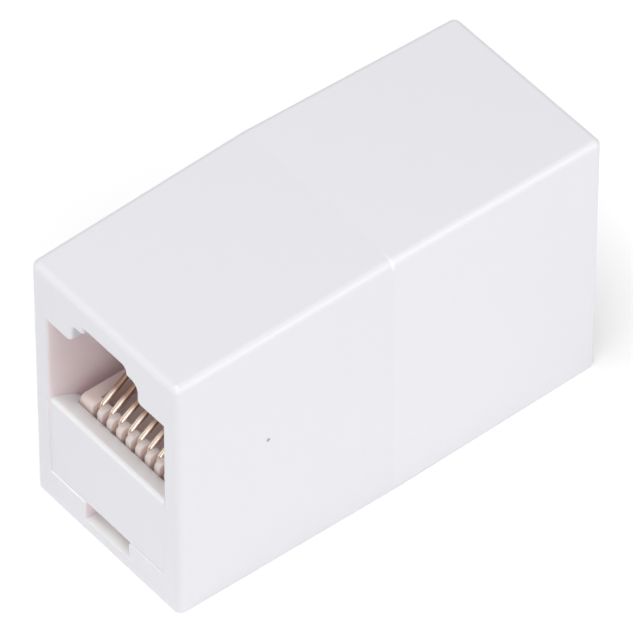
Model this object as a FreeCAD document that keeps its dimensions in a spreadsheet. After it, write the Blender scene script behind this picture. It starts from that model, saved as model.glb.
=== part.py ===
import FreeCAD, Part

import math
import os

import Sketcher

# RJ45 inline coupler: two identical half shells that meet at a seam round the middle, an eight-way
# socket in each end, and eight short leads that join the sockets pin for pin.
#
# +Z is up, Y is the length, and the origin is the middle of the underside. The front half lies at -Y.
# The rear half is the same set of pieces turned half a turn about Z. Depths are measured inwards from
# the end face of a half.

SIZES = {
    # outside of one half shell: its end face, its length and how much it grows towards the seam
    "end_width": 15.4,
    "end_height": 21.8,
    "half_length": 18.2,
    "side_draft": 0.25,
    "top_draft": 0.5,
    "ridge_radius": 0.55,
    "upright_radius": 0.6,
    "rim_radius": 0.22,
    "seam_break": 0.02,
    # walls of a half shell, and the gap left round what slides into it
    "side_wall": 1.55,
    "floor_wall": 1.5,
    "top_wall": 1.5,
    "end_wall": 1.8,
    "fit_gap": 0.1,
    # socket opening in the end wall, its plug lead-in and the stepped keyway for the plug's latch
    "jack_width": 12.3,
    "jack_height": 7.4,
    "jack_depth": 12.5,
    "sill_height": 9.85,
    "sill_radius": 0.3,
    "ramp_depth": 2.5,
    "ramp_drop": 1.2,
    "key_width": 6.9,
    "key_height": 1.7,
    "key_radius": 0.6,
    "key_mouth_radius": 0.5,
    "step_width": 4.5,
    "step_height": 0.7,
    "step_radius": 0.3,
    "roof_thickness": 1.2,
    # shallow panel under the opening, and the catch slot at its foot
    "panel_depth": 0.15,
    "slot_width": 4.7,
    "slot_height": 1.6,
    "slot_floor": 1.0,
    # snap tongue of a half shell
    "tongue_thickness": 0.9,
    "tongue_root": 2.5,
    "tongue_reach": 3.0,
    "tongue_low": 4.0,
    "tongue_height": 12.0,
    "bead_reach": 1.8,
    "bead_half_length": 0.4,
    "bead_height": 0.25,
    # contact carrier: base plate, side rails, front comb and rear guide wall
    "comb_width": 10.2,
    "comb_top": 9.7,
    "comb_depth": 1.0,
    "nose_radius": 0.45,
    "base_top": 8.0,
    "base_thickness": 1.4,
    "well_width": 8.2,
    "guide_wall": 1.4,
    "guide_slot_depth": 0.9,
    "ledge_width": 1.0,
    "ledge_thickness": 0.9,
    "peg_width": 3.4,
    "peg_leg": 0.8,
    "peg_bite": 0.9,
    # contact wires
    "way_spacing": 1.02,
    "wire_diameter": 0.45,
    "wire_gap": 0.05,
    "wire_setback": 0.625,
    "bend_radius": 0.6,
    "bend_drop": 0.53,
    "foot_radius": 0.29,
    "rise_angle": 35.0,
    "tip_depth": 0.4,
    "tail_length": 0.8,
    # insulated leads between the two carriers
    "lead_diameter": 0.9,
    "lead_layer": 1.05,
    "lead_start": 1.2,
    "lead_climb": 2.0,
}
WAYS = 8

# A wire or lead is a bar of this many sides, with its corners on the real wire's round outline.
BAR_SIDES = 6
BAR_CORNERS = [
    (math.cos(2 * math.pi * number / BAR_SIDES), math.sin(2 * math.pi * number / BAR_SIDES))
    for number in range(BAR_SIDES)
]

doc = FreeCAD.newDocument("rj45_inline_coupler")
sheet = doc.addObject("Spreadsheet::Sheet", "Sizes")
for row, (alias, value) in enumerate(SIZES.items(), start=1):
    sheet.set(f"A{row}", alias)
    sheet.set(f"B{row}", str(value))
    sheet.setAlias(f"B{row}", alias)
doc.recompute()


def bound(expression):
    """Return an expression with every size's name pointing at its cell of the sheet."""
    words = expression.replace("(", " ( ").replace(")", " ) ").split()
    return " ".join(f"Sizes.{word}" if word in SIZES else word for word in words)


def measure(expression):
    """Return the present value of an expression in sizes."""
    value = sheet.evalExpression(bound(expression))
    return float(getattr(value, "Value", value))


# Derived places, each an expression in the sizes.
HALF_CHAMBER = "( end_width / 2 - side_wall )"
CHAMBER_TOP = "( end_height - top_wall )"
HALF_JACK = "( jack_width / 2 )"
JACK_TOP = "( sill_height + jack_height )"
KEY_TOP = "( sill_height + jack_height + key_height )"
STEP_TOP = "( sill_height + jack_height + key_height + step_height )"
COMB_FRONT = "( end_wall + fit_gap )"
COMB_BACK = "( end_wall + fit_gap + comb_depth )"
CARRIER_BACK = "( jack_depth - fit_gap )"
GUIDE_FRONT = "( jack_depth - fit_gap - guide_wall )"
BASE_LOW = "( base_top - base_thickness )"
WIRE_SLOT = "( wire_diameter + wire_gap )"
WIRE_DEPTH = "( end_wall + fit_gap + wire_setback )"
WIRE_RUN = f"( {BASE_LOW} + wire_diameter / 2 + wire_gap / 2 )"
TAIL_DEPTH = "( jack_depth - fit_gap + tail_length )"
SLOT_TOP = "( slot_floor + slot_height )"
FIRST_WAY = f"( way_spacing * {(WAYS - 1) / 2} )"


def at_depth(depth):
    """Return the Y place of a depth behind the front half's end face."""
    return f"( {depth} - half_length )"


def origin_plane(body, role):
    return next(plane for plane in body.Origin.OriginFeatures if plane.Role == role)


def new_body(label):
    body = doc.addObject("PartDesign::Body", label)
    body.Label = label
    return body


def new_sketch(body, name, role, offset="0"):
    """Start a sketch on one of the body's origin planes, shifted along that plane's normal."""
    sketch = body.newObject("Sketcher::SketchObject", name)
    sketch.AttachmentSupport = (origin_plane(body, role), [""])
    sketch.MapMode = "FlatFace"
    sketch.AttachmentOffset = FreeCAD.Placement(
        FreeCAD.Vector(0, 0, measure(offset)), FreeCAD.Rotation()
    )
    sketch.setExpression("AttachmentOffset.Base.z", bound(offset))
    return sketch


def pin_point(sketch, geometry, point, across, up, name):
    """Bind one point of a sketch to its two coordinates."""
    for kind, expression in (("DistanceX", across), ("DistanceY", up)):
        index = sketch.addConstraint(
            Sketcher.Constraint(kind, -1, 1, geometry, point, measure(expression))
        )
        label = f"{kind}_{name}"
        sketch.renameConstraint(index, label)
        sketch.setExpression(f"Constraints.{label}", bound(expression))


def draw_outline(sketch, corners):
    """Draw a closed outline of straight sides through corners given as pairs of expressions."""
    first = sketch.GeometryCount
    count = len(corners)
    places = [FreeCAD.Vector(measure(across), measure(up), 0) for across, up in corners]
    for number in range(count):
        sketch.addGeometry(Part.LineSegment(places[number], places[(number + 1) % count]))
    for number in range(count):
        follower = first + (number + 1) % count
        sketch.addConstraint(Sketcher.Constraint("Coincident", first + number, 2, follower, 1))
        pin_point(sketch, first + number, 1, *corners[number], f"corner_{first + number}")


def draw_rectangle(sketch, left, right, low, high):
    draw_outline(sketch, [(left, low), (right, low), (right, high), (left, high)])


def add_feature(body, kind, name, sketch, length, backwards=False, both_ways=False):
    """Pad or pocket a sketch, and check that the solid really gained or lost volume."""
    before = body.Shape.Volume if body.Tip else 0.0
    feature = body.newObject(f"PartDesign::{kind}", name)
    feature.Profile = sketch
    feature.Length = measure(length)
    feature.setExpression("Length", bound(length))
    feature.Reversed = backwards
    feature.Midplane = both_ways
    doc.recompute()
    change = body.Shape.Volume - before
    if (kind == "Pad") != (change > 0) or abs(change) < 1e-6:
        raise RuntimeError(f"{body.Label}: {name} changed the volume by {change}")
    return feature


def edges_near(body, test):
    """Name the edges of the body's present solid whose middle and direction pass a test."""
    names = []
    for number, edge in enumerate(body.Shape.Edges, start=1):
        if len(edge.Vertexes) < 2:
            continue
        chord = edge.Vertexes[1].Point - edge.Vertexes[0].Point
        if test(edge.CenterOfMass, chord.normalize()):
            names.append(f"Edge{number}")
    return names


def dress(body, kind, name, test, size):
    """Fillet or chamfer the edges of the body's present solid that pass a test."""
    base = body.Tip
    edges = edges_near(body, test)
    feature = body.newObject(f"PartDesign::{kind}", name)
    feature.Base = (base, edges)
    size_name = "Radius" if kind == "Fillet" else "Size"
    setattr(feature, size_name, measure(size))
    feature.setExpression(size_name, bound(size))
    doc.recompute()
    return feature


def repeat(body, name, feature, spacing, count):
    """Repeat a feature along X at an even spacing."""
    pattern = body.newObject("PartDesign::LinearPattern", name)
    pattern.Originals = [feature]
    pattern.Direction = (origin_plane(body, "YZ_Plane"), [""])
    pattern.Length = measure(f"{spacing} * {count - 1}")
    pattern.setExpression("Length", bound(f"{spacing} * {count - 1}"))
    pattern.Occurrences = count
    body.Tip = pattern
    doc.recompute()
    return pattern


def mirror(body, name, features):
    """Mirror features to the other side of the coupler's middle plane."""
    mirrored = body.newObject("PartDesign::Mirrored", name)
    mirrored.Originals = features
    mirrored.MirrorPlane = (origin_plane(body, "YZ_Plane"), [""])
    body.Tip = mirrored
    doc.recompute()
    return mirrored


def close(value, target, slack=0.02):
    return abs(value - target) < slack


def make_shell(label):
    """Half shell, injection moulded: drafted outside, cored straight inside."""
    body = new_body(label)
    end_y = -measure("half_length")
    half_height = measure("end_height / 2")

    # Outside: a block whose plan narrows, and whose top falls, from the seam to the end face.
    half_seam = "( end_width / 2 + side_draft )"
    seam_height = "( end_height + top_draft )"
    plan = new_sketch(body, f"{label}_plan", "XY_Plane")
    plan_corners = [
        (f"- {half_seam}", "0"),
        ("- end_width / 2", "- half_length"),
        ("end_width / 2", "- half_length"),
        (half_seam, "0"),
    ]
    draw_outline(plan, plan_corners)
    add_feature(body, "Pad", f"{label}_block", plan, seam_height)
    fall = new_sketch(body, f"{label}_fall_outline", "YZ_Plane")
    fall_corners = [
        ("0", seam_height),
        ("- half_length", "end_height"),
        ("- half_length", seam_height),
    ]
    draw_outline(fall, fall_corners)
    add_feature(body, "Pocket", f"{label}_fall", fall, f"2 * {half_seam}", both_ways=True)

    # Outer edges: broad along the top, softer uprights, a fine rim and a broken edge at the seam.
    def is_upright(middle, along):
        return close(middle.y, end_y) and abs(along.z) > 0.9

    def is_ridge(middle, along):
        return abs(along.y) > 0.9 and middle.z > half_height

    def is_rim(middle, along):
        at_end = close(middle.y, end_y) and abs(along.z) < 0.9
        at_foot = close(middle.z, 0) and not close(middle.y, 0)
        return at_end or at_foot

    def is_seam(middle, along):
        return close(middle.y, 0)

    dress(body, "Fillet", f"{label}_uprights", is_upright, "upright_radius")
    dress(body, "Fillet", f"{label}_ridges", is_ridge, "ridge_radius")
    dress(body, "Fillet", f"{label}_rim", is_rim, "rim_radius")
    dress(body, "Chamfer", f"{label}_seam_edge", is_seam, "seam_break")

    # Chamber behind the socket, cored from the seam side.
    chamber = new_sketch(body, f"{label}_chamber_outline", "XZ_Plane")
    draw_rectangle(chamber, f"- {HALF_CHAMBER}", HALF_CHAMBER, "floor_wall", CHAMBER_TOP)
    add_feature(
        body, "Pocket", f"{label}_chamber", chamber, "half_length - jack_depth", backwards=True
    )

    # Well under the socket: it reaches the end wall between two corner posts.
    well = new_sketch(body, f"{label}_well_outline", "XY_Plane", "floor_wall")
    half_comb = "( comb_width / 2 + fit_gap )"
    corners = [
        (HALF_CHAMBER, at_depth("( jack_depth + fit_gap )")),
        (f"- {HALF_CHAMBER}", at_depth("( jack_depth + fit_gap )")),
        (f"- {HALF_CHAMBER}", at_depth("ramp_depth")),
        (f"- {half_comb}", at_depth("ramp_depth")),
        (f"- {half_comb}", at_depth("end_wall")),
        (half_comb, at_depth("end_wall")),
        (half_comb, at_depth("ramp_depth")),
        (HALF_CHAMBER, at_depth("ramp_depth")),
    ]
    draw_outline(well, corners)
    add_feature(
        body, "Pocket", f"{label}_well", well, "sill_height + fit_gap - floor_wall", backwards=True
    )

    # Socket tunnel, right through the end wall, then its keyway in two steps.
    tunnel = new_sketch(body, f"{label}_tunnel_outline", "XZ_Plane", "half_length")
    draw_rectangle(tunnel, f"- {HALF_JACK}", HALF_JACK, "sill_height", JACK_TOP)
    add_feature(body, "Pocket", f"{label}_tunnel", tunnel, "jack_depth + fit_gap")
    key = new_sketch(body, f"{label}_key_outline", "XZ_Plane", "half_length")
    draw_rectangle(key, "- key_width / 2", "key_width / 2", f"{JACK_TOP} - fit_gap", KEY_TOP)
    add_feature(body, "Pocket", f"{label}_key", key, "jack_depth + fit_gap")
    step = new_sketch(body, f"{label}_step_outline", "XZ_Plane", "half_length")
    draw_rectangle(step, "- step_width / 2", "step_width / 2", f"{KEY_TOP} - fit_gap", STEP_TOP)
    add_feature(body, "Pocket", f"{label}_step", step, "jack_depth + fit_gap")

    def corner_at(across, up):
        places = [(measure(across), measure(up)), (-measure(across), measure(up))]

        def is_corner(middle, along):
            here = any(close(middle.x, x) and close(middle.z, z) for x, z in places)
            return here and abs(along.y) > 0.9 and middle.y < -1

        return is_corner

    dress(body, "Fillet", f"{label}_key_mouth", corner_at("key_width / 2", JACK_TOP),
          "key_mouth_radius")
    dress(body, "Fillet", f"{label}_key_corners", corner_at("key_width / 2", KEY_TOP),
          "key_radius")
    dress(body, "Fillet", f"{label}_step_corners", corner_at("step_width / 2", STEP_TOP),
          "step_radius")

    # Lead-in ramp behind the sill, and the two cores that lighten the tunnel roof.
    ramp = new_sketch(body, f"{label}_ramp_outline", "YZ_Plane")
    ramp_corners = [
        (at_depth("0"), "sill_height"),
        (at_depth("ramp_depth"), "sill_height - ramp_drop"),
        (at_depth("( ramp_depth + fit_gap )"), "sill_height + fit_gap"),
        (at_depth("0"), "sill_height + fit_gap"),
    ]
    draw_outline(ramp, ramp_corners)
    add_feature(body, "Pocket", f"{label}_ramp", ramp, "jack_width", both_ways=True)

    core = new_sketch(body, f"{label}_core_outline", "XZ_Plane")
    draw_rectangle(core, "key_width / 2 + roof_thickness", HALF_CHAMBER,
                   f"{JACK_TOP} + roof_thickness", CHAMBER_TOP)
    core_cut = add_feature(
        body, "Pocket", f"{label}_core", core, "half_length - end_wall", backwards=True
    )
    mirror(body, f"{label}_cores", [core_cut])

    # Shallow panel below the sill and the catch slot at its foot.
    panel = new_sketch(body, f"{label}_panel_outline", "XZ_Plane", "half_length")
    draw_rectangle(panel, f"- {HALF_JACK}", HALF_JACK, "slot_floor + slot_height",
                   "sill_height + fit_gap")
    add_feature(body, "Pocket", f"{label}_panel", panel, "panel_depth")
    slot = new_sketch(body, f"{label}_slot_outline", "XZ_Plane", "half_length")
    draw_rectangle(slot, "- slot_width / 2", "slot_width / 2", "slot_floor",
                   "slot_floor + slot_height")
    add_feature(body, "Pocket", f"{label}_slot", slot, "end_wall")

    def is_sill(middle, along):
        low = measure("sill_height - ramp_drop / 2")
        near = middle.y < measure(at_depth("( panel_depth + 0.05 )"))
        return near and low < middle.z < measure("sill_height + fit_gap") and abs(along.x) > 0.9

    dress(body, "Fillet", f"{label}_sill", is_sill, "sill_radius")

    # Ledges on both side walls that carry the contact carrier's base plate.
    ledge = new_sketch(body, f"{label}_ledge_outline", "XZ_Plane", "half_length - jack_depth")
    ledge_top = f"( {BASE_LOW} - fit_gap )"
    draw_rectangle(ledge, f"{HALF_CHAMBER} - ledge_width", f"{HALF_CHAMBER} + fit_gap",
                   f"{ledge_top} - ledge_thickness", ledge_top)
    ledge_pad = add_feature(body, "Pad", f"{label}_ledge", ledge, "jack_depth - ramp_depth")
    mirror(body, f"{label}_ledges", [ledge_pad])

    # Snap tongue on one side. Its bead clicks into the groove in the other half's opposite wall.
    free_face = f"( {HALF_CHAMBER} - fit_gap )"
    bead_face = f"( {free_face} + bead_height )"
    tongue = new_sketch(body, f"{label}_tongue_outline", "XY_Plane", "tongue_low")
    tongue_corners = [
        (f"{HALF_CHAMBER} - tongue_thickness", "- tongue_root"),
        (f"{HALF_CHAMBER} - tongue_thickness", "tongue_reach"),
        (free_face, "tongue_reach"),
        (free_face, "bead_reach + bead_half_length"),
        (bead_face, "bead_reach"),
        (free_face, "bead_reach - bead_half_length"),
        (free_face, "0"),
        (f"{HALF_CHAMBER} + fit_gap", "0"),
        (f"{HALF_CHAMBER} + fit_gap", "- tongue_root"),
    ]
    draw_outline(tongue, tongue_corners)
    add_feature(body, "Pad", f"{label}_tongue", tongue, "tongue_height")
    groove = new_sketch(body, f"{label}_groove_outline", "XY_Plane", "tongue_low - fit_gap")
    groove_corners = [
        (f"- {HALF_CHAMBER} + fit_gap", "- bead_reach + bead_half_length + fit_gap"),
        (f"- {HALF_CHAMBER}", "- bead_reach + bead_half_length + fit_gap"),
        (f"- {bead_face} - fit_gap", "- bead_reach"),
        (f"- {HALF_CHAMBER}", "- bead_reach - bead_half_length - fit_gap"),
        (f"- {HALF_CHAMBER} + fit_gap", "- bead_reach - bead_half_length - fit_gap"),
    ]
    draw_outline(groove, groove_corners)
    add_feature(body, "Pocket", f"{label}_groove", groove, "tongue_height + 2 * fit_gap",
                backwards=True)
    return body


def make_carrier(label):
    """Contact carrier: a moulded tray with a comb in front and a guide wall behind."""
    body = new_body(label)
    half_flange = f"( {HALF_CHAMBER} - fit_gap )"
    half_comb = "( comb_width / 2 )"
    half_well = "( well_width / 2 )"
    flange_front = at_depth("( ramp_depth + fit_gap )")

    base = new_sketch(body, f"{label}_base_outline", "XY_Plane", BASE_LOW)
    base_corners = [
        (f"- {half_flange}", at_depth(CARRIER_BACK)),
        (f"- {half_flange}", flange_front),
        (f"- {half_comb}", flange_front),
        (f"- {half_comb}", at_depth(COMB_FRONT)),
        (half_comb, at_depth(COMB_FRONT)),
        (half_comb, flange_front),
        (half_flange, flange_front),
        (half_flange, at_depth(CARRIER_BACK)),
    ]
    draw_outline(base, base_corners)
    add_feature(body, "Pad", f"{label}_base", base, "base_thickness")

    rails = new_sketch(body, f"{label}_rails_outline", "XY_Plane", "base_top")
    rails_corners = [
        (f"- {half_comb}", at_depth(GUIDE_FRONT)),
        (f"- {half_comb}", at_depth(COMB_FRONT)),
        (half_comb, at_depth(COMB_FRONT)),
        (half_comb, at_depth(GUIDE_FRONT)),
        (half_well, at_depth(GUIDE_FRONT)),
        (half_well, at_depth(COMB_BACK)),
        (f"- {half_well}", at_depth(COMB_BACK)),
        (f"- {half_well}", at_depth(GUIDE_FRONT)),
    ]
    draw_outline(rails, rails_corners)
    add_feature(body, "Pad", f"{label}_rails", rails, "comb_top - base_top")

    guide = new_sketch(body, f"{label}_guide_outline", "XY_Plane", "base_top")
    draw_rectangle(guide, f"- {HALF_JACK} + fit_gap", f"{HALF_JACK} - fit_gap",
                   at_depth(GUIDE_FRONT), at_depth(CARRIER_BACK))
    add_feature(body, "Pad", f"{label}_guide", guide, f"{JACK_TOP} - fit_gap - base_top")

    def is_nose(middle, along):
        in_front = close(middle.y, measure(at_depth(COMB_FRONT)))
        return in_front and close(middle.z, measure("comb_top")) and abs(along.x) > 0.9

    dress(body, "Fillet", f"{label}_nose", is_nose, "nose_radius")

    # Wire slots: through the comb above the base plate, and down its front below that.
    slot_sides = (f"- {FIRST_WAY} - {WIRE_SLOT} / 2", f"- {FIRST_WAY} + {WIRE_SLOT} / 2")
    upper = new_sketch(body, f"{label}_upper_slot_outline", "XY_Plane", "comb_top")
    draw_rectangle(upper, *slot_sides, at_depth(COMB_FRONT), at_depth(COMB_BACK))
    upper_cut = add_feature(body, "Pocket", f"{label}_upper_slot", upper, "comb_top - base_top")
    repeat(body, f"{label}_upper_slots", upper_cut, "way_spacing", WAYS)
    lower = new_sketch(body, f"{label}_lower_slot_outline", "XY_Plane", "base_top")
    draw_rectangle(lower, *slot_sides, at_depth(COMB_FRONT),
                   f"{at_depth(WIRE_DEPTH)} + {WIRE_SLOT} / 2")
    lower_cut = add_feature(body, "Pocket", f"{label}_lower_slot", lower, "base_thickness")
    repeat(body, f"{label}_lower_slots", lower_cut, "way_spacing", WAYS)

    # Grooves under the base plate for the wires' tails, and slots in the guide wall for their tips.
    under = new_sketch(
        body, f"{label}_groove_outline", "XZ_Plane", f"half_length - {CARRIER_BACK}"
    )
    draw_rectangle(under, *slot_sides, BASE_LOW, f"{BASE_LOW} + {WIRE_SLOT}")
    under_cut = add_feature(body, "Pocket", f"{label}_groove", under,
                            f"{CARRIER_BACK} - {COMB_FRONT}", backwards=True)
    repeat(body, f"{label}_grooves", under_cut, "way_spacing", WAYS)
    tips = new_sketch(body, f"{label}_tip_slot_outline", "XY_Plane", f"{JACK_TOP} - fit_gap")
    draw_rectangle(tips, *slot_sides, at_depth(GUIDE_FRONT),
                   f"{at_depth(GUIDE_FRONT)} + guide_slot_depth")
    tips_cut = add_feature(body, "Pocket", f"{label}_tip_slot", tips,
                           f"{JACK_TOP} - fit_gap - comb_top")
    repeat(body, f"{label}_tip_slots", tips_cut, "way_spacing", WAYS)

    # Leg below the comb, with the peg that locates the carrier in the end wall's slot.
    leg = new_sketch(body, f"{label}_leg_outline", "YZ_Plane")
    leg_corners = [
        (at_depth(COMB_FRONT), BASE_LOW),
        (at_depth(COMB_FRONT), f"{SLOT_TOP} - fit_gap"),
        (at_depth("( end_wall - peg_bite )"), f"{SLOT_TOP} - 2 * fit_gap"),
        (at_depth("( end_wall - peg_bite )"), "floor_wall + fit_gap"),
        (at_depth(f"( {COMB_FRONT} + peg_leg )"), "floor_wall + fit_gap"),
        (at_depth(f"( {COMB_FRONT} + peg_leg )"), BASE_LOW),
    ]
    draw_outline(leg, leg_corners)
    add_feature(body, "Pad", f"{label}_leg", leg, "peg_width", both_ways=True)
    return body


def make_contact(label):
    """Contact wire: tail, foot bend, rise in the comb, over-bend and the slanting free length."""
    body = new_body(label)
    angle = math.radians(measure("rise_angle"))
    foot = measure("foot_radius")
    bend = measure("bend_radius")
    run = measure(WIRE_RUN)
    rise_y = measure(at_depth(WIRE_DEPTH))
    tail_y = measure(at_depth(TAIL_DEPTH))
    tip_y = measure(at_depth(f"( {GUIDE_FRONT} + tip_depth )"))
    bend_z = measure("comb_top - bend_drop")
    slant_y = rise_y + bend * (1 - math.sin(angle))
    slant_z = bend_z + bend * math.cos(angle)
    tip_z = slant_z + (tip_y - slant_y) * math.tan(angle)

    def spot(y, z):
        return FreeCAD.Vector(y, z, 0)

    def arc_about(centre_y, centre_z, radius, start, end):
        circle = Part.Circle(spot(centre_y, centre_z), FreeCAD.Vector(0, 0, 1), radius)
        return Part.ArcOfCircle(circle, start, end)

    path = new_sketch(body, f"{label}_path", "YZ_Plane")
    path.addGeometry(Part.LineSegment(spot(tail_y, run), spot(rise_y + foot, run)))
    path.addGeometry(
        arc_about(rise_y + foot, run + foot, foot, math.pi, 3 * math.pi / 2)
    )
    path.addGeometry(Part.LineSegment(spot(rise_y, run + foot), spot(rise_y, bend_z)))
    path.addGeometry(
        arc_about(rise_y + bend, bend_z, bend, math.pi / 2 + angle, math.pi)
    )
    path.addGeometry(Part.LineSegment(spot(slant_y, slant_z), spot(tip_y, tip_z)))
    path.addConstraint(Sketcher.Constraint("Tangent", 0, 2, 1, 2))
    path.addConstraint(Sketcher.Constraint("Tangent", 1, 1, 2, 1))
    path.addConstraint(Sketcher.Constraint("Tangent", 2, 2, 3, 2))
    path.addConstraint(Sketcher.Constraint("Tangent", 3, 1, 4, 1))
    path.addConstraint(Sketcher.Constraint("Horizontal", 0))
    path.addConstraint(Sketcher.Constraint("Vertical", 2))
    dimensions = [
        ("tail_y", ("DistanceX", -1, 1, 0, 1), tail_y, at_depth(TAIL_DEPTH)),
        ("run_z", ("DistanceY", -1, 1, 0, 1), run, WIRE_RUN),
        ("rise_y", ("DistanceX", -1, 1, 2, 1), rise_y, at_depth(WIRE_DEPTH)),
        ("bend_z", ("DistanceY", -1, 1, 2, 2), bend_z, "comb_top - bend_drop"),
        ("tip_y", ("DistanceX", -1, 1, 4, 2), tip_y,
         at_depth(f"( {GUIDE_FRONT} + tip_depth )")),
        ("foot", ("Radius", 1), foot, "foot_radius"),
        ("bend", ("Radius", 3), bend, "bend_radius"),
        ("angle", ("Angle", 4), angle, "rise_angle"),
    ]
    for name, place, value, expression in dimensions:
        index = path.addConstraint(Sketcher.Constraint(*place, value))
        path.renameConstraint(index, name)
        path.setExpression(f"Constraints.{name}", bound(expression))

    section = new_sketch(body, f"{label}_section", "XZ_Plane", f"half_length - {TAIL_DEPTH}")
    section_corners = [
        (f"wire_diameter / 2 * ( {across:.6f} )", f"{WIRE_RUN} + wire_diameter / 2 * ( {up:.6f} )")
        for across, up in BAR_CORNERS
    ]
    draw_outline(section, section_corners)
    doc.recompute()
    pipe = body.newObject("PartDesign::AdditivePipe", f"{label}_wire")
    pipe.Profile = section
    pipe.Spine = (path, ["Edge1", "Edge2", "Edge3", "Edge4", "Edge5"])
    doc.recompute()
    return body


def repeat_body(label, original):
    """Make another piece from the same mould or bending tool as an existing one."""
    body = new_body(label)
    body.BaseFeature = original
    doc.recompute()
    return body


def place_body(body, across, turned):
    """Shift a piece across the coupler, and turn it to the rear half if asked."""
    sign = "-" if turned else ""
    angle = 180 if turned else 0
    body.Placement = FreeCAD.Placement(
        FreeCAD.Vector(measure(f"{sign} {across}"), 0, 0),
        FreeCAD.Rotation(FreeCAD.Vector(0, 0, 1), angle),
    )
    body.setExpression("Placement.Base.x", bound(f"{sign} {across}"))


def rounded_route(points):
    """Join straight runs by tangent arcs, each as large as its two runs allow."""
    edges = []
    start = points[0]
    for before, corner, after in zip(points, points[1:], points[2:]):
        arriving = (corner - before).normalize()
        leaving = (after - corner).normalize()
        turn = arriving.getAngle(leaving)
        shorter = min((corner - before).Length, (after - corner).Length)
        reach = 0.45 * shorter
        radius = reach / math.tan(turn / 2)
        entry = corner - arriving * reach
        leave = corner + leaving * reach
        inward = (leaving - arriving).normalize()
        crown = corner + inward * (radius / math.cos(turn / 2) - radius)
        edges.append(Part.LineSegment(start, entry).toShape())
        edges.append(Part.Arc(entry, crown, leave).toShape())
        start = leave
    edges.append(Part.LineSegment(start, points[-1]).toShape())
    return Part.Wire(edges)


def make_lead(label, way):
    """Insulated lead from a front tail to the rear tail of the same number, on its own level."""
    across = measure(f"way_spacing * {way - (WAYS + 1) / 2}")
    end_y = measure(f"half_length - {TAIL_DEPTH}")
    run = measure(WIRE_RUN)
    level = run + measure(f"lead_layer * {(WAYS + 1) / 2 - way}")
    climb_y = end_y - measure("lead_start")
    level_y = climb_y - measure("lead_climb")
    points = [
        FreeCAD.Vector(across, -end_y, run),
        FreeCAD.Vector(across, -climb_y, run),
        FreeCAD.Vector(across, -level_y, level),
        FreeCAD.Vector(-across, level_y, level),
        FreeCAD.Vector(-across, climb_y, run),
        FreeCAD.Vector(-across, end_y, run),
    ]
    route = rounded_route(points)
    radius = measure("lead_diameter / 2")
    corners = [points[0] + FreeCAD.Vector(x, 0, z) * radius for x, z in BAR_CORNERS]
    section = Part.makePolygon([*corners, corners[0]])
    lead = doc.addObject("Part::Feature", label)
    lead.Label = label
    lead.Shape = route.makePipeShell([section], True, False)
    lead.Placement = FreeCAD.Placement()
    area = BAR_SIDES / 2 * math.sin(2 * math.pi / BAR_SIDES) * radius ** 2
    if abs(lead.Shape.Volume - area * route.Length) > 0.01 * lead.Shape.Volume:
        raise RuntimeError(f"{label}: the bar's volume doesn't match its length")
    return lead


front_shell = make_shell("front_shell")
front_carrier = make_carrier("front_insert")
first_contact = make_contact("front_contact_1")
pieces = [front_shell, front_carrier, first_contact]
for label, original in [("rear_shell", front_shell), ("rear_insert", front_carrier)]:
    piece = repeat_body(label, original)
    place_body(piece, "0", turned=True)
    pieces.append(piece)
for half in ("front", "rear"):
    for way in range(1, WAYS + 1):
        label = f"{half}_contact_{way}"
        across = f"( way_spacing * ( {way - (WAYS + 1) / 2} ) )"
        if label == first_contact.Label:
            place_body(first_contact, across, turned=False)
        else:
            piece = repeat_body(label, first_contact)
            place_body(piece, across, turned=half == "rear")
            pieces.append(piece)
for way in range(1, WAYS + 1):
    pieces.append(make_lead(f"lead_{way}", way))
doc.recompute()

for item in doc.Objects:
    if "Invalid" in item.State or "Error" in item.State:
        raise RuntimeError(f"{item.Name} did not recompute: {item.State}")
for piece in pieces:
    shape = piece.Shape
    if shape.isNull() or not shape.isValid() or len(shape.Solids) != 1:
        raise RuntimeError(f"{piece.Label} is not one valid solid")

os.makedirs("parts", exist_ok=True)
for piece in pieces:
    piece.Shape.exportStep(os.path.join("parts", f"{piece.Label}.step"))
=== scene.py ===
import math

import bmesh
import bpy
from mathutils import Matrix, Vector


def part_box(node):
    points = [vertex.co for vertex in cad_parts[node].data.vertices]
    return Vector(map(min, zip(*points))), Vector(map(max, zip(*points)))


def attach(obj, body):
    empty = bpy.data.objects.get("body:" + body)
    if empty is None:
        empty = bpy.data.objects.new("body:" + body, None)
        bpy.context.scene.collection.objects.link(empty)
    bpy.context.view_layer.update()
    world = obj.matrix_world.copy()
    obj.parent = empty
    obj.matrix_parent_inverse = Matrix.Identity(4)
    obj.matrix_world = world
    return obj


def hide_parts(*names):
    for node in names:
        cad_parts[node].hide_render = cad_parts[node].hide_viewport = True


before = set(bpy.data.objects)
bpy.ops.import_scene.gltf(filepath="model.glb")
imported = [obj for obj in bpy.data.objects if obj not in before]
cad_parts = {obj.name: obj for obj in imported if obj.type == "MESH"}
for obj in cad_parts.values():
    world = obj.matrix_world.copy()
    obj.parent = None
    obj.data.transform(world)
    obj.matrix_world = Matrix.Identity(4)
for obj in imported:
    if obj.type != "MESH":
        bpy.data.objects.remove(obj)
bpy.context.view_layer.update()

# ---------------------------------------------------------------------------------------------
# Table and lights: the coupler stands on a white sweep in a dim light tent. A soft box hangs above
# the front, and four more stand round it: two low at the front corners, which reach into the
# socket, two fills above those, and a broad one on the right.
# ---------------------------------------------------------------------------------------------

MM = 0.001
scene = bpy.context.scene
scene.view_settings.view_transform = "Standard"

CAMERA_DISTANCE = 614.5     # in mm
CAMERA_LENS = 522.5         # focal length in mm, on a sensor 36 mm wide
SWEEP_HALF = 1.5            # half the side of the sweep, in metres

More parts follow.
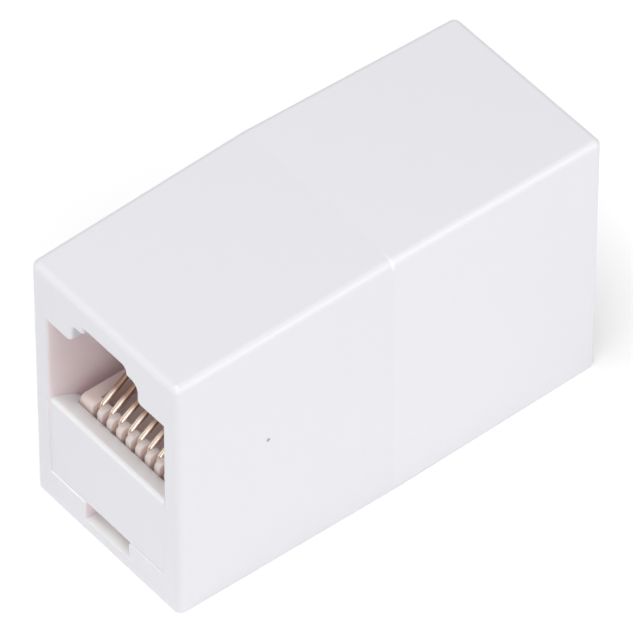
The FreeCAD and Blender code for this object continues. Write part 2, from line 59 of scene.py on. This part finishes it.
middle = Vector((0.348, -0.436, 11.15)) * MM
view_turn = math.radians(50.83)
view_height = math.radians(46.51)
towards_camera = Vector((
    math.sin(view_turn) * math.cos(view_height),
    -math.cos(view_turn) * math.cos(view_height),
    math.sin(view_height),
))
camera_data = bpy.data.cameras.new("camera")
camera_data.sensor_width = 36.0
camera_data.lens = CAMERA_LENS
camera_data.clip_start = 0.02
camera = bpy.data.objects.new("camera", camera_data)
camera.location = middle + towards_camera * CAMERA_DISTANCE * MM
camera.rotation_euler = towards_camera.to_track_quat("Z", "Y").to_euler()
scene.collection.objects.link(camera)
scene.camera = camera


def colour(hex_code):
    """Turn an sRGB hex colour into linear RGBA."""
    shares = [int(hex_code[place:place + 2], 16) / 255 for place in (0, 2, 4)]
    linear = [s / 12.92 if s <= 0.04045 else ((s + 0.055) / 1.055) ** 2.4 for s in shares]
    return (*linear, 1.0)


def add_node(tree, kind, settings=None, links=None):
    """Add a shader node, set its sockets and properties, and link outputs to its inputs."""
    node = tree.nodes.new(kind)
    for name, value in (settings or {}).items():
        if isinstance(name, int) or name in node.inputs:
            node.inputs[name].default_value = value
        else:
            setattr(node, name, value)
    for name, output in (links or {}).items():
        tree.links.new(output, node.inputs[name])
    return node


def new_material(name):
    """Start a material with an empty node tree."""
    material = bpy.data.materials.new(name)
    material.use_nodes = True
    material.node_tree.nodes.clear()
    return material, material.node_tree


sweep_white, tree = new_material("matt_white_paper")
paper = add_node(tree, "ShaderNodeBsdfDiffuse", {"Color": colour("EDEDEE")})
glow = add_node(tree, "ShaderNodeEmission", {"Color": colour("FFFFFF"), "Strength": 0.3})
rays = add_node(tree, "ShaderNodeLightPath")
seen = add_node(tree, "ShaderNodeMath", {"operation": "MAXIMUM"},
                {0: rays.outputs["Is Camera Ray"], 1: rays.outputs["Is Glossy Ray"]})
seen_through = add_node(tree, "ShaderNodeMath", {"operation": "MAXIMUM"},
                        {0: seen.outputs[0], 1: rays.outputs["Is Transmission Ray"]})
no_glow = add_node(tree, "ShaderNodeEmission", {"Color": colour("000000"), "Strength": 0.0})
chosen = add_node(tree, "ShaderNodeMixShader", None,
                  {0: seen_through.outputs[0], 1: no_glow.outputs[0], 2: glow.outputs[0]})
both = add_node(tree, "ShaderNodeAddShader", None, {0: paper.outputs[0], 1: chosen.outputs[0]})
add_node(tree, "ShaderNodeOutputMaterial", None, {"Surface": both.outputs[0]})

sheet = bmesh.new()
bmesh.ops.create_grid(sheet, x_segments=1, y_segments=1, size=SWEEP_HALF)
floor_mesh = bpy.data.meshes.new("floor")
sheet.to_mesh(floor_mesh)
sheet.free()
floor_mesh.materials.append(sweep_white)
floor = bpy.data.objects.new("floor", floor_mesh)
scene.collection.objects.link(floor)

world = bpy.data.worlds.new("light_tent")
world.use_nodes = True
scene.world = world
tent = world.node_tree
tent.nodes.clear()
tent_light = add_node(tent, "ShaderNodeBackground", {"Color": colour("FFFFFF"), "Strength": 0.36})
add_node(tent, "ShaderNodeOutputWorld", None, {"Surface": tent_light.outputs[0]})


def add_lamp(name, place_mm, size_mm, watts):
    """Hang a square soft box at a place in millimetres, facing the coupler."""
    lamp_data = bpy.data.lights.new(name, "AREA")
    lamp_data.shape = "SQUARE"
    lamp_data.size = size_mm * MM
    lamp_data.energy = watts
    lamp = bpy.data.objects.new(name, lamp_data)
    lamp.location = Vector(place_mm) * MM
    lamp.rotation_euler = (lamp.location - middle).to_track_quat("Z", "Y").to_euler()
    scene.collection.objects.link(lamp)


add_lamp("soft_box_above", (0, -120, 465), 200, 0.77)
add_lamp("soft_box_front_left", (-242, -335, 161), 170, 0.08)
add_lamp("soft_box_front_right", (310, -290, 115), 200, 0.20)
add_lamp("soft_box_front_fill", (240, -220, 290), 280, 0.30)
add_lamp("soft_box_left_fill", (-240, -240, 296), 280, 0.13)
add_lamp("soft_box_right", (370, 210, 200), 320, 0.60)

# ---------------------------------------------------------------------------------------------
# Half shells: two like mouldings in white ABS from one polished mould, joined by snap tongues
# at the seam round the middle. Polished steel leaves a smooth, softly glossy face, and every edge
# comes off the tool a little rounded.
# ---------------------------------------------------------------------------------------------

MOUTH_ROUND = 0.32 * MM     # rim of the socket opening
SHELL_ROUND = 0.035 * MM    # every other edge but the seam
SILL_HEIGHT = 9.85 * MM     # foot of the opening, where its round rim ends
FLAT_ANGLE = math.radians(1.5)
SHARP_ANGLE = math.radians(38)
SHADING_ANGLE = math.radians(50)

END_NEAR = 0.01 * MM        # closer to the end face than this is on it
MOUTH_HALF = 6.3 * MM       # the opening's rim lies inside this half width
MOUTH_LOW = 9.8 * MM        # and above this height
SEAM_NEAR = 0.05 * MM       # closer to the seam than this is at it
SEAM_SNAP = 0.03 * MM       # and closer than this is drawn onto it, so that the halves meet
INNER_HALF = 6 * MM         # edges at the seam inside these bounds are rounded too
INNER_LOW, INNER_HIGH = 2 * MM, 20 * MM
SOCKET_HALF = 7.2 * MM      # bounds of the faces that belong to the inside
SOCKET_LOW, SOCKET_HIGH = 0.6 * MM, 21 * MM
SOCKET_START = 0.2 * MM     # depth behind the end face at which the inside starts
RAMP_END = 2.6 * MM         # depth at which the sill's slope ends
RAMP_TILT = 0.5             # and how far up its faces look
KEYWAY_FOOT = 17.3 * MM


def sharp_edges(form, test):
    """Give the sharp edges whose two ends both pass a test."""
    return [edge for edge in form.edges
            if len(edge.link_faces) == 2 and edge.calc_face_angle() > SHARP_ANGLE
            and all(test(vert.co) for vert in edge.verts)]


def round_edges(form, edges, width, segments):
    """Round some edges to a width with a few strips."""
    bmesh.ops.bevel(form, geom=edges, offset=width, offset_type="OFFSET", affect="EDGES",
                    segments=segments, profile=0.5, material=-1, clamp_overlap=False)


def merged_copy(node):
    """Copy a CAD node into a bmesh, with its loose triangles merged into flat faces."""
    form = bmesh.new()
    form.from_mesh(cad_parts[node].data)
    bmesh.ops.remove_doubles(form, verts=form.verts, dist=0.001 * MM)
    bmesh.ops.dissolve_limit(form, angle_limit=FLAT_ANGLE, verts=form.verts,
                             edges=form.edges, use_dissolve_boundaries=False)
    return form


def add_piece(form, name, materials):
    """Turn a bmesh into a smooth-shaded piece that rides on the coupler."""
    for face in form.faces:
        face.smooth = True
    mesh = bpy.data.meshes.new(name)
    form.to_mesh(mesh)
    form.free()
    mesh.set_sharp_from_angle(angle=SHADING_ANGLE)
    for material in materials:
        mesh.materials.append(material)
    piece = bpy.data.objects.new(name, mesh)
    scene.collection.objects.link(piece)
    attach(piece, "root")
    return piece


def moulded_abs(name, light, dark, roughness, depth_mm):
    """Make white ABS with a faint fine grain, which lets light in to a depth if one is given."""
    material, tree = new_material(name)
    place = add_node(tree, "ShaderNodeTexCoord")
    grain = add_node(tree, "ShaderNodeTexNoise",
                     {"Scale": 1 / (0.25 * MM), "Detail": 2.0, "Roughness": 0.5},
                     {"Vector": place.outputs["Object"]})
    tone = add_node(tree, "ShaderNodeMix", {"data_type": "RGBA", 6: colour(dark),
                                            7: colour(light)},
                    {0: grain.outputs["Fac"]})
    relief = add_node(tree, "ShaderNodeBump", {"Strength": 0.15, "Distance": 0.004 * MM},
                      {"Height": grain.outputs["Fac"]})
    plastic = add_node(tree, "ShaderNodeBsdfPrincipled",
                       {"IOR": 1.53, "Roughness": roughness,
                        "Subsurface Weight": 1.0 if depth_mm else 0.0,
                        "Subsurface Scale": depth_mm * MM, "Subsurface Radius": (1.0, 0.85, 0.87)},
                       {"Base Color": tone.outputs[2], "Normal": relief.outputs[0]})
    add_node(tree, "ShaderNodeOutputMaterial", None, {"Surface": plastic.outputs[0]})
    return material, tree, tone, plastic


# The rear half's base is a shade lighter than the front's: painted light, for the different light
# the two halves' faces catch.
abs_front, tree, tone, plastic = moulded_abs("moulded_white_abs_front", "EEEEF2", "ECECF0",
                                             0.28, 0.0)
rear_abs_painted_light = moulded_abs("moulded_white_abs_rear_painted_light", "F0F0F4", "EEEEF2", 0.28, 0.0)[0]
# The socket's inside faces get a pinker copy of the same ABS: painted shade, the warm tint of the
# shaded hollow.
socket_abs_painted_shade = moulded_abs("moulded_white_abs_socket_painted_shade", "F5EAEB", "F3E7E9", 0.38, 1.5)[0]
# The sill's slope gets a brighter copy of the same ABS: painted light on the ramp.
sill_abs_painted_light = moulded_abs("moulded_white_abs_sill_painted_light", "F7F7F9", "F5F5F7", 0.32, 1.2)[0]

# A dark grain of dust moulded into the front half's +X wall.
SPECK_PLACE = Vector((7.8, -10.6, 12.2)) * MM
SPECK_RADIUS = 0.2 * MM
place = add_node(tree, "ShaderNodeTexCoord")
ragged = add_node(tree, "ShaderNodeTexNoise", {"Scale": 1 / (0.15 * MM), "Detail": 1.0},
                  {"Vector": place.outputs["Object"]})
reach = add_node(tree, "ShaderNodeVectorMath", {"operation": "DISTANCE", 1: SPECK_PLACE},
                 {0: place.outputs["Object"]})
jitter = add_node(tree, "ShaderNodeMath", {"operation": "MULTIPLY_ADD", 1: 0.1 * MM},
                  {0: ragged.outputs["Fac"], 2: reach.outputs["Value"]})
spot = add_node(tree, "ShaderNodeMapRange",
                {"From Min": SPECK_RADIUS * 0.5, "From Max": SPECK_RADIUS * 1.3,
                 "To Min": 0.75, "To Max": 0.0},
                {"Value": jitter.outputs[0]})
dusted = add_node(tree, "ShaderNodeMix", {"data_type": "RGBA", 7: colour("5A5254")},
                  {0: spot.outputs[0], 6: tone.outputs[2]})

# A painted highlight beside the seam lightens the plastic on the upper +X edge, where the corner
# catches the light.
HIGHLIGHT_PLACE = Vector((7.8, -0.12, 21.9)) * MM
HIGHLIGHT_REACH = Vector((2.0, 0.16, 0.5)) * MM
offset = add_node(tree, "ShaderNodeVectorMath", {"operation": "SUBTRACT", 1: HIGHLIGHT_PLACE},
                  {0: place.outputs["Object"]})
share = add_node(tree, "ShaderNodeVectorMath", {"operation": "DIVIDE", 1: HIGHLIGHT_REACH},
                 {0: offset.outputs["Vector"]})
away = add_node(tree, "ShaderNodeVectorMath", {"operation": "LENGTH"},
                {0: share.outputs["Vector"]})
highlight_mask = add_node(tree, "ShaderNodeMapRange",
                {"From Min": 0.7, "From Max": 1.1, "To Min": 1.0, "To Max": 0.0},
                {"Value": away.outputs["Value"]})
highlighted = add_node(tree, "ShaderNodeMix", {"data_type": "RGBA", 7: colour("F9F9F9")},
                   {0: highlight_mask.outputs[0], 6: dusted.outputs[2]})
tree.links.new(highlighted.outputs[2], plastic.inputs["Base Color"])

for half, skin in (("front", abs_front), ("rear", rear_abs_painted_light)):
    form = merged_copy(f"{half}_shell")
    low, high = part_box(f"{half}_shell")
    end_y = low.y if half == "front" else high.y

    def at_mouth(place):
        at_end = abs(place.y - end_y) < END_NEAR
        return at_end and place.z > MOUTH_LOW and abs(place.x) < MOUTH_HALF

    def off_seam(place):
        inner = abs(place.x) < INNER_HALF and INNER_LOW < place.z < INNER_HIGH
        return abs(place.y) > SEAM_NEAR or inner

    bmesh.ops.bisect_plane(form, geom=form.verts[:] + form.edges[:] + form.faces[:],
                           plane_co=(0, 0, SILL_HEIGHT), plane_no=(0, 0, 1))
    round_edges(form, sharp_edges(form, at_mouth), MOUTH_ROUND, 3)
    round_edges(form, sharp_edges(form, off_seam), SHELL_ROUND, 2)
    for vert in form.verts:
        if abs(vert.co.y) < SEAM_SNAP:
            vert.co.y = 0.0
    # Faces inside the socket take the pinker copy (painted shade), and the sill's slope takes the
    # brighter copy (painted light).
    for face in form.faces:
        centre = face.calc_center_median()
        depth = abs(centre.y - end_y)
        inside = abs(centre.x) < SOCKET_HALF and SOCKET_LOW < centre.z < SOCKET_HIGH
        ramp = depth < RAMP_END and face.normal.z > RAMP_TILT
        keyway = centre.z > KEYWAY_FOOT
        if inside and depth > SOCKET_START and not keyway:
            face.material_index = 2 if ramp else 1
    shell = add_piece(form, f"{half}_half_shell", [skin, socket_abs_painted_shade, sill_abs_painted_light])
    weights = shell.modifiers.new("flat_faces", "WEIGHTED_NORMAL")
    weights.keep_sharp = True
    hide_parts(f"{half}_shell")

# ---------------------------------------------------------------------------------------------
# Contact carriers: a tray in off-white polycarbonate that slides up the chamber from the seam
# side. Its comb holds the eight wires apart under the sill, and its peg sits in the end slot.
# ---------------------------------------------------------------------------------------------

CARRIER_ROUND = 0.03 * MM

carrier_white, tree = new_material("moulded_offwhite_polycarbonate")
place = add_node(tree, "ShaderNodeTexCoord")
cloud = add_node(tree, "ShaderNodeTexNoise",
                 {"Scale": 1 / (1.5 * MM), "Detail": 2.0, "Roughness": 0.5},
                 {"Vector": place.outputs["Object"]})
tone = add_node(tree, "ShaderNodeMix", {"data_type": "RGBA", 6: colour("F3E1DC"),
                                        7: colour("F7E6E1")},
                {0: cloud.outputs["Fac"]})
plastic = add_node(tree, "ShaderNodeBsdfPrincipled",
                   {"IOR": 1.58, "Roughness": 0.3, "Subsurface Weight": 1.0,
                    "Subsurface Scale": 0.6 * MM, "Subsurface Radius": (1.0, 0.8, 0.76)},
                   {"Base Color": tone.outputs[2]})
add_node(tree, "ShaderNodeOutputMaterial", None, {"Surface": plastic.outputs[0]})

for half in ("front", "rear"):
    form = merged_copy(f"{half}_insert")
    round_edges(form, sharp_edges(form, lambda place: True), CARRIER_ROUND, 2)
    carrier = add_piece(form, f"{half}_carrier", [carrier_white])
    weights = carrier.modifiers.new("flat_faces", "WEIGHTED_NORMAL")
    weights.keep_sharp = True
    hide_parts(f"{half}_insert")

# ---------------------------------------------------------------------------------------------
# Contact wires: round phosphor bronze wire bent to a hook that the plug's blades press down.
# Only the hook, where the blades touch, is gold plated and bright; the rest stays bare bronze,
# duller and brown. That bright-to-brown change is also painted light: a painted highlight on the
# hook that fades into painted shade along the free length.
# ---------------------------------------------------------------------------------------------

WIRE_ROUND = 0.225 * MM     # half the wire's diameter
FOOT_ROUND = 0.29 * MM      # bend from the tail up into the comb
HOOK_ROUND = 0.6 * MM       # bend from the comb to the slanting free length
SLANT = math.radians(35)
HOOK_HEIGHT = 9.17 * MM
TAIL_HEIGHT = 6.85 * MM
STAND_DEPTH = 2.525 * MM    # the upright length, behind the end face
TIP_DEPTH = 11.4 * MM       # the free tip, behind the end face

# Where the plating ends is also where the painted highlight on the hook fades into painted shade.
PLATING_AND_HIGHLIGHT_FROM = 15.05 * MM    # distance from the seam at which the plating is whole
PLATING_AND_HIGHLIGHT_TO = 14.45 * MM       # and at which it has run out

wire_painted_highlight, tree = new_material("gold_plated_bronze_wire_painted_highlight")
place = add_node(tree, "ShaderNodeTexCoord")
drawn = add_node(tree, "ShaderNodeTexNoise",
                 {"Scale": 1 / (0.4 * MM), "Detail": 2.0, "Roughness": 0.5},
                 {"Vector": place.outputs["Object"]})
apart = add_node(tree, "ShaderNodeSeparateXYZ", None, {"Vector": place.outputs["Object"]})
from_seam = add_node(tree, "ShaderNodeMath", {"operation": "ABSOLUTE"}, {0: apart.outputs["Y"]})
plating_and_highlight = add_node(tree, "ShaderNodeMapRange", {"From Min": PLATING_AND_HIGHLIGHT_TO, "From Max": PLATING_AND_HIGHLIGHT_FROM},
                  {"Value": from_seam.outputs[0]})
sheen = add_node(tree, "ShaderNodeMapRange", {"To Min": 0.44, "To Max": 0.52},
                 {"Value": drawn.outputs["Fac"]})
polish = add_node(tree, "ShaderNodeMath", {"operation": "MULTIPLY_ADD", 1: -0.22},
                  {0: plating_and_highlight.outputs[0], 2: sheen.outputs[0]})
# Cream gold near the hook, brown bronze beyond: partly the real plating, partly a painted
# highlight and painted shade.
wire_tone_painted_light = add_node(tree, "ShaderNodeMix", {"data_type": "RGBA", 6: colour("B09280"),
                                          7: colour("FBEBDC")},
                  {0: plating_and_highlight.outputs[0]})
plate = add_node(tree, "ShaderNodeBsdfPrincipled", {"Metallic": 1.0},
                 {"Base Color": wire_tone_painted_light.outputs[2], "Roughness": polish.outputs[0]})
add_node(tree, "ShaderNodeOutputMaterial", None, {"Surface": plate.outputs[0]})


def bent_wire(across, end_y, tail_y):
    """Extrude and spin a round section along the wire: tail, foot, upright, hook, free length."""
    form = bmesh.new()
    start = Vector((across, tail_y, TAIL_HEIGHT))
    ring = bmesh.ops.create_circle(form, cap_ends=True, radius=WIRE_ROUND, segments=20,
                                   matrix=Matrix.Translation(start) @ Matrix.Rotation(
                                       math.radians(90), 4, "X"))
    edges = list({edge for vert in ring["verts"] for edge in vert.link_edges})

    def pull(edges, shift):
        pulled = bmesh.ops.extrude_edge_only(form, edges=edges)["geom"]
        verts = [item for item in pulled if isinstance(item, bmesh.types.BMVert)]
        bmesh.ops.translate(form, verts=verts, vec=shift)
        return [item for item in pulled if isinstance(item, bmesh.types.BMEdge)
                and all(vert in verts for vert in item.verts)]

    def turn(edges, centre, angle, steps):
        verts = list({vert for edge in edges for vert in edge.verts})
        spun = bmesh.ops.spin(form, geom=edges + verts, cent=centre, axis=(1, 0, 0),
                              angle=angle, steps=steps, use_merge=False)["geom_last"]
        return [item for item in spun if isinstance(item, bmesh.types.BMEdge)]

    stand_y = end_y + STAND_DEPTH
    edges = pull(edges, Vector((0, stand_y + FOOT_ROUND - tail_y, 0)))
    foot_centre = Vector((across, stand_y + FOOT_ROUND, TAIL_HEIGHT + FOOT_ROUND))
    edges = turn(edges, foot_centre, -math.radians(90), 8)
    edges = pull(edges, Vector((0, 0, HOOK_HEIGHT - TAIL_HEIGHT - FOOT_ROUND)))
    hook_centre = Vector((across, stand_y + HOOK_ROUND, HOOK_HEIGHT))
    edges = turn(edges, hook_centre, -(math.radians(90) - SLANT), 8)
    hook_end_y = stand_y + HOOK_ROUND * (1 - math.sin(SLANT))
    free_run = end_y + TIP_DEPTH - hook_end_y
    edges = pull(edges, Vector((0, free_run, free_run * math.tan(SLANT))))
    bmesh.ops.contextual_create(form, geom=edges)
    bmesh.ops.recalc_face_normals(form, faces=form.faces)
    return form


for half in ("front", "rear"):
    for way in range(1, 9):
        node = f"{half}_contact_{way}"
        low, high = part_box(node)
        if half == "front":
            form = bent_wire((low.x + high.x) / 2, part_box("front_shell")[0].y, high.y)
        else:
            form = bent_wire(-(low.x + high.x) / 2, -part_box("rear_shell")[1].y, -low.y)
            bmesh.ops.rotate(form, verts=form.verts, cent=(0, 0, 0),
                             matrix=Matrix.Rotation(math.pi, 3, "Z"))
        wire = add_piece(form, f"{half}_wire_{way}", [wire_painted_highlight])
        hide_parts(node)

# ---------------------------------------------------------------------------------------------
# Leads: eight short stranded wires in coloured PVC, crimped to the contact tails, that cross
# inside the shells. Extruded PVC is smooth and slightly waxy.
# ---------------------------------------------------------------------------------------------

LEAD_COLOURS = {
    1: ("blue", "2B4F9E"), 2: ("orange", "E0752A"), 3: ("black", "232323"),
    4: ("red", "B5302B"), 5: ("green", "2F8A4B"), 6: ("yellow", "E8C33A"),
    7: ("brown", "7A4A2E"), 8: ("white", "E8E8E6"),
}

for way, (tint, hex_code) in LEAD_COLOURS.items():
    pvc, tree = new_material(f"extruded_pvc_{tint}")
    place = add_node(tree, "ShaderNodeTexCoord")
    streak = add_node(tree, "ShaderNodeTexNoise",
                      {"Scale": 1 / (0.8 * MM), "Detail": 2.0, "Roughness": 0.5},
                      {"Vector": place.outputs["Object"]})
    waxy = add_node(tree, "ShaderNodeMapRange", {"To Min": 0.38, "To Max": 0.5},
                    {"Value": streak.outputs["Fac"]})
    jacket = add_node(tree, "ShaderNodeBsdfPrincipled",
                      {"Base Color": colour(hex_code), "IOR": 1.53},
                      {"Roughness": waxy.outputs[0]})
    add_node(tree, "ShaderNodeOutputMaterial", None, {"Surface": jacket.outputs[0]})
    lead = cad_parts[f"lead_{way}"]
    lead.data.materials.clear()
    lead.data.materials.append(pvc)
